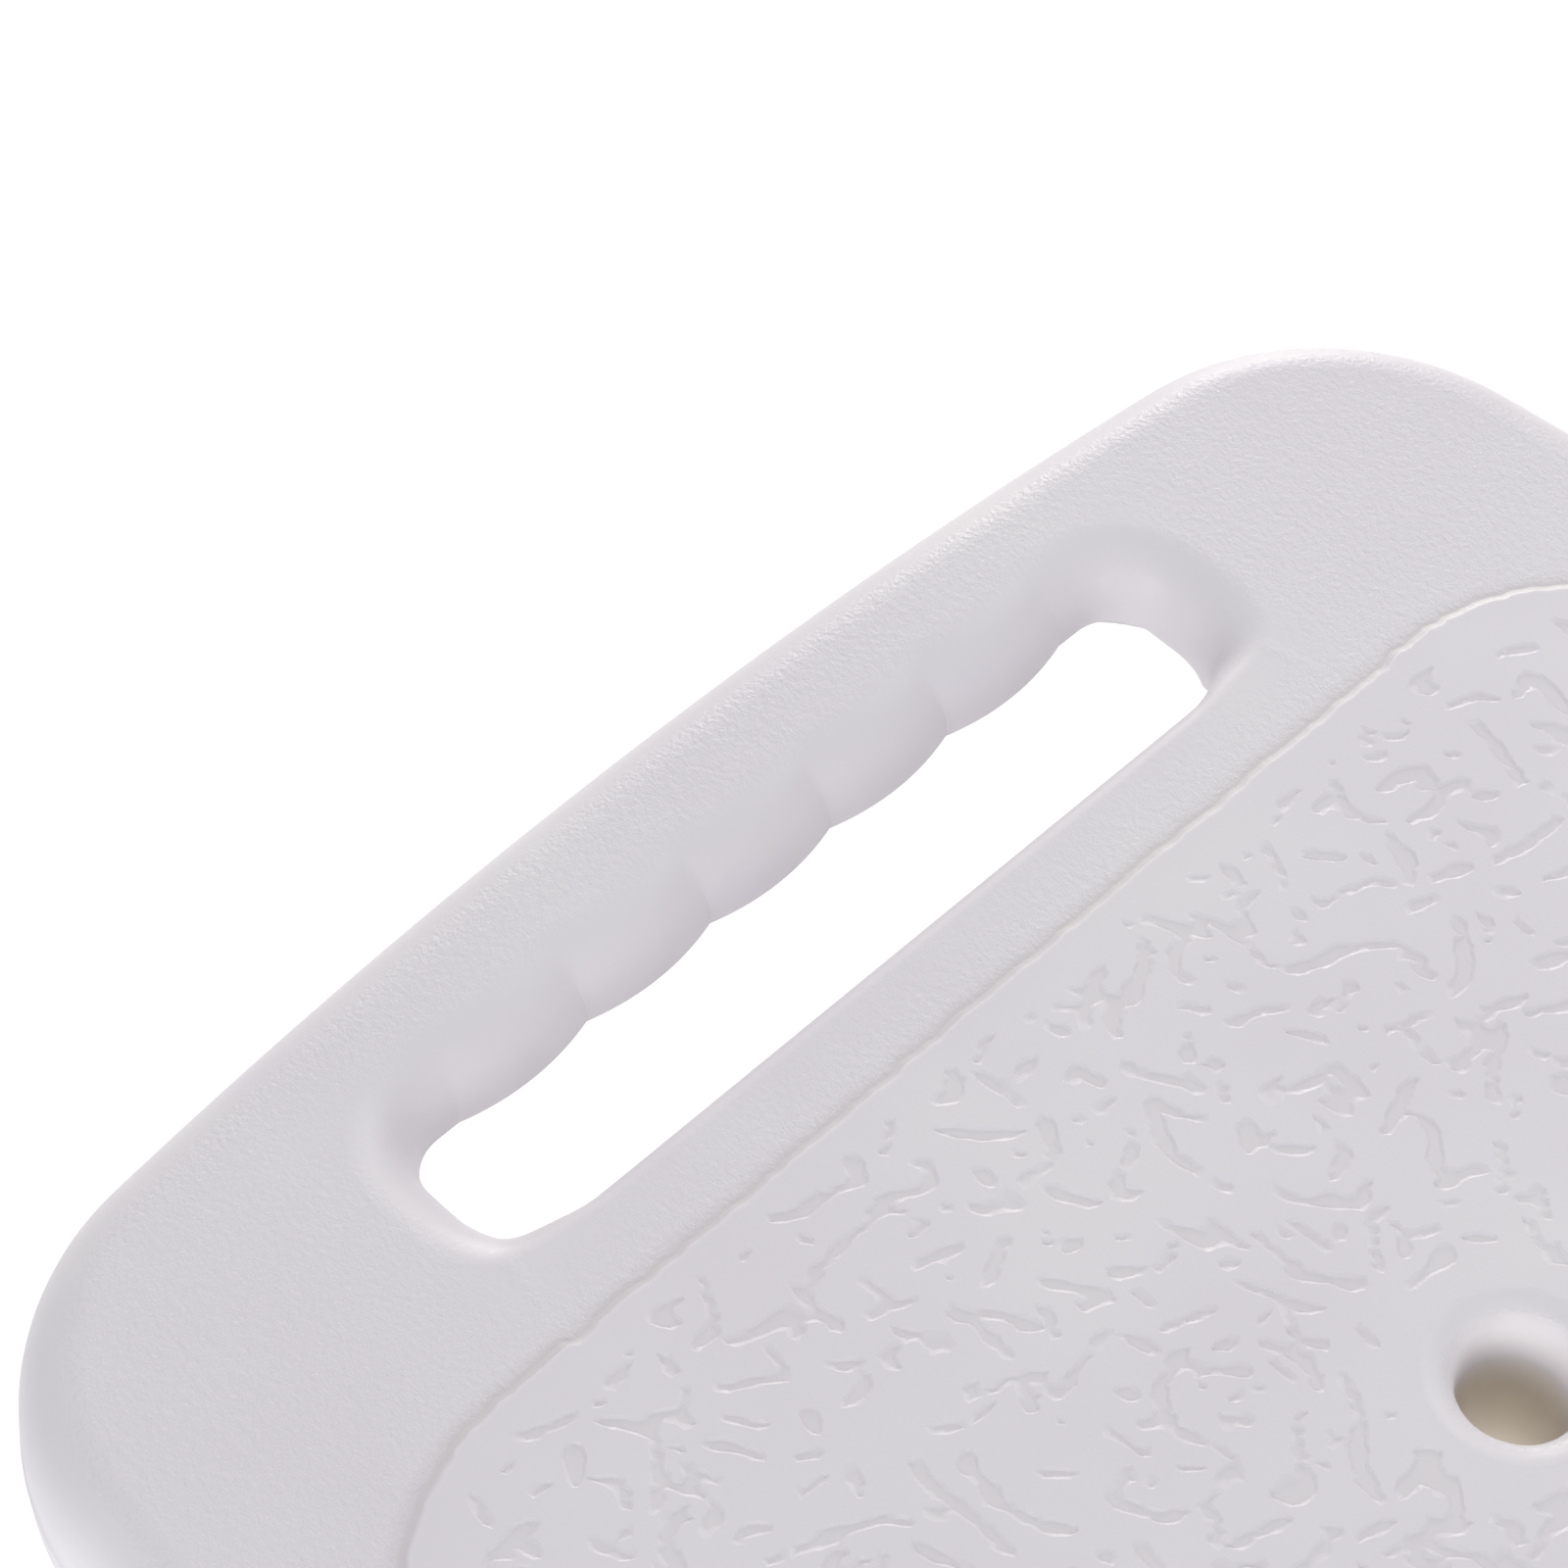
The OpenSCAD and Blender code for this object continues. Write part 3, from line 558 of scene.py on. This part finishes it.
def add_channel(skin, x):
    """The half-round bed of a frame tube in the underside, with rounded long edges."""
    rise = UNDER - CHANNEL_Z
    reach = math.sqrt(CHANNEL_R ** 2 - rise ** 2)
    half_angle = math.atan2(reach, rise)
    bed = [(CHANNEL_R * math.sin(a), CHANNEL_Z + CHANNEL_R * math.cos(a))
           for a in np.linspace(-half_angle + 0.05, half_angle - 0.05, 15)]
    section = np.array([(-reach - 1, UNDER), *bed, (reach + 1, UNDER)])
    ys = np.linspace(-CHANNEL_HALF, CHANNEL_HALF, 24)
    rows = [skin.add(np.column_stack([x + section[:, 0], np.full(len(section), y), section[:, 1]]))
            for y in ys]
    for low, high in zip(rows[:-1], rows[1:]):
        skin.band(high, low, closed=False)
    ends = []
    for row, y in ((rows[0], ys[0]), (rows[-1], ys[-1])):
        across = section[1:-1, 0]
        flat_row = skin.add(flat(np.column_stack([x + across, np.full(len(across), y)]), UNDER))
        ends.append(np.concatenate([row[:1], flat_row, row[-1:]]))
    for end, row, first in ((ends[0], rows[0], True), (ends[1], rows[-1], False)):
        low, high = (end, row) if first else (row, end)
        quads = np.stack([low[:-1], low[1:], high[1:], high[:-1]], 1)[:, ::-1]
        skin.face(quads[1:-1])
        skin.face([[q for q in dict.fromkeys(quads[k].tolist())] for k in (0, len(quads) - 1)])
    left = [row[0] for row in rows]
    right = [row[-1] for row in rows]
    return np.array([*ends[0], *right[1:-1], *ends[1][::-1], *left[1:-1][::-1]])


def seat_skin():
    skin = Skin()
    rim_top, rim_low = add_rim(skin)
    slots = [add_slot(skin, side) for side in (-1, 1)]
    drains = [add_drain(skin, centre) for centre in DRAINS]
    crest, foot = add_panel_edge(skin)
    add_panel_top(skin, crest, [drain[0] for drain in drains])
    flutes = [add_flute(skin, y) for y in FLUTE_YS]
    channels = [add_channel(skin, side * CHANNEL_X) for side in (-1, 1)]

    points = np.concatenate(skin.points)[:, :2]
    slot_tops = [points[slot[0]] for slot in slots]
    panel_foot = points[foot]
    fill(skin, [rim_top, foot, *[slot[0] for slot in slots]], True,
         lambda c: inside(points[rim_top], c) & ~inside(panel_foot, c)
         & ~inside(slot_tops[0], c) & ~inside(slot_tops[1], c))
    holes = [slot[1] for slot in slots] + [drain[1] for drain in drains] + flutes + channels
    under = [points[hole] for hole in holes]

    def below(c):
        found = inside(points[rim_low], c)
        for hole in under:
            found &= ~inside(hole, c)
        return found

    fill(skin, [rim_low, *holes], False, below)
    return skin


def make_mesh(name, skin):
    """A mesh with smooth shading that stays flat where its faces are flat."""
    points = np.concatenate(skin.points)
    wanted = np.concatenate(skin.normals)
    mesh = bpy.data.meshes.new(name)
    mesh.from_pydata((points * MM).tolist(), [], skin.faces)
    mesh.validate()
    mesh.update()
    mesh.shade_smooth()
    apply_normals(mesh, wanted)
    piece = bpy.data.objects.new(name, mesh)
    bpy.context.scene.collection.objects.link(piece)
    return piece


def apply_normals(mesh, wanted):
    """Flat faces keep their own normal; other corners share the vertex's."""
    count = len(mesh.loops)
    vertex = np.zeros(count, np.int32)
    mesh.loops.foreach_get("vertex_index", vertex)
    face_normals = np.zeros(len(mesh.polygons) * 3, np.float32)
    mesh.polygons.foreach_get("normal", face_normals)
    face_normals = face_normals.reshape(-1, 3)
    sizes = np.zeros(len(mesh.polygons), np.int32)
    mesh.polygons.foreach_get("loop_total", sizes)
    face_of = np.repeat(np.arange(len(sizes)), sizes)
    own = face_normals[face_of]
    level = abs(own[:, 2]) > 0.99995
    summed = np.zeros((len(mesh.vertices), 3))
    np.add.at(summed, vertex[~level], own[~level])
    lengths = np.linalg.norm(summed, axis=1, keepdims=True)
    shared = summed / np.maximum(lengths, 1e-9)
    shared = np.where(np.isnan(wanted), shared, np.nan_to_num(wanted))
    corners = np.where(level[:, None], own, shared[vertex])
    mesh.normals_split_custom_set(corners.astype(float).tolist())


# ---- Materials ----

def new_material(name):
    material = bpy.data.materials.new(name)
    material.use_nodes = True
    nodes, links = material.node_tree.nodes, material.node_tree.links
    nodes.clear()
    output = nodes.new("ShaderNodeOutputMaterial")
    shader = nodes.new("ShaderNodeBsdfPrincipled")
    links.new(shader.outputs["BSDF"], output.inputs["Surface"])
    return material, nodes, links, shader


def noise(nodes, links, scale, detail, roughness, stretch=None):
    """A noise texture in the object's own metres; stretch scales the place along each axis."""
    coordinates = nodes.new("ShaderNodeTexCoord").outputs["Object"]
    if stretch:
        mapping = nodes.new("ShaderNodeMapping")
        mapping.inputs["Scale"].default_value = stretch
        links.new(coordinates, mapping.inputs["Vector"])
        coordinates = mapping.outputs["Vector"]
    texture = nodes.new("ShaderNodeTexNoise")
    texture.inputs["Scale"].default_value = scale
    texture.inputs["Detail"].default_value = detail
    texture.inputs["Roughness"].default_value = roughness
    links.new(coordinates, texture.inputs["Vector"])
    return texture


def ramp(nodes, links, value, low, high, start, end):
    found = nodes.new("ShaderNodeValToRGB")
    found.color_ramp.elements[0].position = low
    found.color_ramp.elements[1].position = high
    found.color_ramp.elements[0].color = start
    found.color_ramp.elements[1].color = end
    links.new(value, found.inputs["Fac"])
    return found.outputs["Color"]


def multiply(nodes, links, first, second):
    node = nodes.new("ShaderNodeMath")
    node.operation = "MULTIPLY"
    links.new(first, node.inputs[0])
    links.new(second, node.inputs[1])
    return node.outputs[0]


def bump(nodes, links, height, strength, distance, below=None):
    node = nodes.new("ShaderNodeBump")
    node.inputs["Strength"].default_value = strength
    node.inputs["Distance"].default_value = distance
    links.new(height, node.inputs["Height"])
    if below is not None:
        links.new(below, node.inputs["Normal"])
    return node.outputs["Normal"]


def seat_material():
    """White polyethylene. Attributes say how strong the pebble grain is, and the tone, at each point; the tone
    paints shade and light into the colour.
    """
    material, nodes, links, shader = new_material("seat_polyethylene")
    cloud = noise(nodes, links, 24, 3, 0.55)
    colour = ramp(nodes, links, cloud.outputs["Fac"], 0.3, 0.75,
                  (0.748, 0.72, 0.778, 1), (0.79, 0.766, 0.806, 1))
    tone = nodes.new("ShaderNodeAttribute")
    tone.attribute_name = "tone"
    # Tone ramp: warm dark beige at 0 is painted shade, plain at 0.5, paler at 1 is painted light.
    shade = nodes.new("ShaderNodeValToRGB")
    steps = shade.color_ramp.elements
    steps[0].color = (0.92, 0.85, 0.66, 1)
    steps[1].color = (1.14, 1.14, 1.1, 1)
    steps.new(0.3).color = (0.88, 0.87, 0.84, 1)
    steps.new(0.5).color = (1, 1, 1, 1)
    links.new(tone.outputs["Fac"], shade.inputs["Fac"])
    mixed = nodes.new("ShaderNodeMix")
    mixed.data_type = "RGBA"
    mixed.blend_type = "MULTIPLY"
    mixed.inputs["Factor"].default_value = 1.0
    first, second, result = mixed.inputs[6], mixed.inputs[7], mixed.outputs[2]   # its colour sockets
    links.new(colour, first)
    links.new(shade.outputs["Color"], second)
    links.new(result, shader.inputs["Base Color"])
    fine = noise(nodes, links, 1500, 2, 0.6)
    rough = ramp(nodes, links, fine.outputs["Fac"], 0.2, 0.8, (0.4, 0.4, 0.4, 1), (0.54, 0.54, 0.54, 1))
    links.new(rough, shader.inputs["Roughness"])
    shader.inputs["IOR"].default_value = 1.5
    grain = nodes.new("ShaderNodeAttribute")
    grain.attribute_name = "grain"
    pebbles = noise(nodes, links, 1250, 2, 0.6)
    sparkle = multiply(nodes, links, pebbles.outputs["Fac"], grain.outputs["Fac"])
    wave = noise(nodes, links, 14, 1, 0.4)
    large = bump(nodes, links, wave.outputs["Fac"], 0.25, 0.003)
    small = bump(nodes, links, sparkle, 0.65, 0.00035, large)
    tiny = bump(nodes, links, fine.outputs["Fac"], 0.12, 0.0002, small)
    links.new(tiny, shader.inputs["Normal"])
    return material


def metal_material(name, colour, roughness, lines):
    """Metal with fine lines, drawn out along the axes on which lines is small, and slight wear."""
    material, nodes, links, shader = new_material(name)
    cloud = noise(nodes, links, 30, 4, 0.6)
    dark = tuple(0.95 * c for c in colour)
    links.new(ramp(nodes, links, cloud.outputs["Fac"], 0.3, 0.7, (*dark, 1), (*colour, 1)),
              shader.inputs["Base Color"])
    shader.inputs["Metallic"].default_value = 1.0
    drawn = noise(nodes, links, 900, 3, 0.6, stretch=lines)
    low, high = roughness
    links.new(ramp(nodes, links, drawn.outputs["Fac"], 0.25, 0.75, (low, low, low, 1), (high, high, high, 1)),
              shader.inputs["Roughness"])
    links.new(bump(nodes, links, drawn.outputs["Fac"], 0.06, 0.00005), shader.inputs["Normal"])
    return material


def moulded_material(name, colour, roughness, grain_scale, grain_height):
    """Moulded plastic or rubber: cloudy colour, uneven gloss and a fine spark-eroded grain."""
    material, nodes, links, shader = new_material(name)
    cloud = noise(nodes, links, 40, 3, 0.55)
    dark = tuple(0.93 * c for c in colour)
    links.new(ramp(nodes, links, cloud.outputs["Fac"], 0.3, 0.7, (*dark, 1), (*colour, 1)),
              shader.inputs["Base Color"])
    low, high = roughness
    patch = noise(nodes, links, 220, 3, 0.6)
    links.new(ramp(nodes, links, patch.outputs["Fac"], 0.3, 0.7, (low, low, low, 1), (high, high, high, 1)),
              shader.inputs["Roughness"])
    grain = noise(nodes, links, grain_scale, 2, 0.5)
    links.new(bump(nodes, links, grain.outputs["Fac"], 0.4, grain_height), shader.inputs["Normal"])
    return material


def dress_nodes():
    """Every CAD node takes the material of its slot in the record."""
    tube = metal_material("anodised_tube", (0.62, 0.63, 0.65), (0.24, 0.34), (1, 1, 0.02))
    steel = metal_material("zinc_steel", (0.56, 0.56, 0.58), (0.28, 0.42), (1, 1, 1))
    brass = metal_material("turned_brass", (0.72, 0.52, 0.24), (0.22, 0.34), (1, 1, 0.05))
    nylon = moulded_material("moulded_nylon", (0.5, 0.5, 0.51), (0.36, 0.5), 2600, 0.0001)
    rubber = moulded_material("foot_rubber", (0.3, 0.3, 0.31), (0.6, 0.8), 1800, 0.00015)
    by_slot = {"anodised_tube": tube, "steel_hardware": steel, "insert_brass": brass,
               "plastic_fittings": nylon, "rubber_tip": rubber}
    for part in frame["record"]["subparts"]:
        material = by_slot.get(part["material_slot"])
        if material:
            node = frame["nodes"][part["node"]]
            node.data.materials.clear()
            node.data.materials.append(material)


# ---- Grain mask ----

def grain_strength(points):
    """Strong pebbles on the flat rim, and none down its rolled edge, round a slot, on the panel or in
    a hole."""
    x, y, z = points.T
    lip = SEAT_L / 2 - SLOT_LIP
    back = lip - SLOT_W
    qx = np.maximum(np.maximum(back - abs(x), abs(x) - lip), 0)
    qy = np.maximum(abs(y) - SLOT_HALF, 0)
    slot = np.hypot(qx, qy)
    strength = smooth(3.5, 11, slot)
    strength = np.where(abs(x) < back, smooth(1.5, 4, slot), strength)
    strength *= np.where(z > RIM + 0.05, 0.0, 1.0)
    return strength * smooth(RIM - 1.2, RIM - 0.3, z)


def make_seat():
    skin = seat_skin()
    seat = make_mesh("seat_moulding", skin)
    points = np.concatenate(skin.points)
    for name, values in (("grain", grain_strength(points)), ("tone", np.concatenate(skin.tones))):
        attribute = seat.data.attributes.new(name, "FLOAT", "POINT")
        attribute.data.foreach_set("value", values.astype(np.float32))
    seat.data.materials.append(seat_material())
    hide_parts("seat_board")
    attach(seat, "stool")


# ---- Spring clips ----

def make_clips():
    """Each leg's folded strip again, copied from its CAD node, which is then hidden."""
    for joint in frame["joints"]:
        if not joint["name"].startswith("button_press_"):
            continue
        corner = joint["name"].removeprefix("button_press_")
        strip = frame["nodes"]["spring_clip_" + corner].data.copy()
        clip = bpy.data.objects.new("clip_strip_" + corner, strip)
        bpy.context.scene.collection.objects.link(clip)
        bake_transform(clip)
        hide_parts("spring_clip_" + corner)


# ---- Stage ----

def make_floor():
    bpy.ops.mesh.primitive_circle_add(vertices=96, radius=30, fill_type="NGON")
    floor = bpy.context.object
    floor.name = "floor"
    material, nodes, links, shader = new_material("pale_floor")
    cloud = noise(nodes, links, 3, 2, 0.5)
    links.new(ramp(nodes, links, cloud.outputs["Fac"], 0.3, 0.7, (0.88, 0.88, 0.88, 1), (0.9, 0.9, 0.9, 1)),
              shader.inputs["Base Color"])
    shader.inputs["Roughness"].default_value = 0.9
    shader.inputs["Emission Color"].default_value = (1, 1, 1, 1)
    shader.inputs["Emission Strength"].default_value = 0.3
    floor.data.materials.append(material)


def area_light(name, location, target, size, power, colour=(1, 1, 1)):
    light = bpy.data.lights.new(name, "AREA")
    light.shape = "DISK"
    light.size = size
    light.energy = power
    light.color = colour
    holder = bpy.data.objects.new(name, light)
    holder.location = location
    holder.rotation_euler = (Vector(target) - Vector(location)).to_track_quat("-Z", "Y").to_euler()
    bpy.context.scene.collection.objects.link(holder)


def make_light():
    scene = bpy.context.scene
    scene.world = bpy.data.worlds.new("studio")
    scene.world.use_nodes = True
    background = scene.world.node_tree.nodes["Background"]
    background.inputs["Color"].default_value = (1.0, 1.0, 1.0, 1)
    background.inputs["Strength"].default_value = 0.38
    middle = (0, 0, 0.35)
    area_light("softbox_back", (-0.3, 1.6, 1.7), middle, 1.0, 12)
    area_light("softbox_front", (-0.1, -2.6, 1.7), middle, 1.4, 27)
    area_light("softbox_right", (2.0, -1.2, 1.35), middle, 1.6, 19)
    area_light("softbox_end", (-1.9, 1.8, 0.82), middle, 1.0, 29, (1, 0.97, 0.91))
    scene.view_settings.view_transform = "Standard"


def make_camera():
    """A close, high view of the left end of the seat from the front right."""
    azimuth, elevation, roll = (math.radians(a) for a in (41.739, 52.752, 3.644))
    distance = 0.64899
    target = Vector((-0.22888, 0.00626, RIM * MM))
    back = Vector((math.sin(azimuth) * math.cos(elevation), -math.cos(azimuth) * math.cos(elevation),
                   math.sin(elevation)))
    right = Vector((math.cos(azimuth), math.sin(azimuth), 0))
    up = back.cross(right)
    side = right * math.cos(roll) + up * math.sin(roll)
    top = up * math.cos(roll) - right * math.sin(roll)
    data = bpy.data.cameras.new("camera")
    data.sensor_width = 36
    data.lens = 115.85
    data.clip_start = 0.01
    data.clip_end = 100
    camera = bpy.data.objects.new("camera", data)
    turn = Matrix((side, top, back)).transposed().to_4x4()
    camera.matrix_world = Matrix.Translation(target + back * distance) @ turn
    bpy.context.scene.collection.objects.link(camera)
    bpy.context.scene.camera = camera


make_camera()
make_floor()
make_light()
dress_nodes()
make_clips()
make_seat()
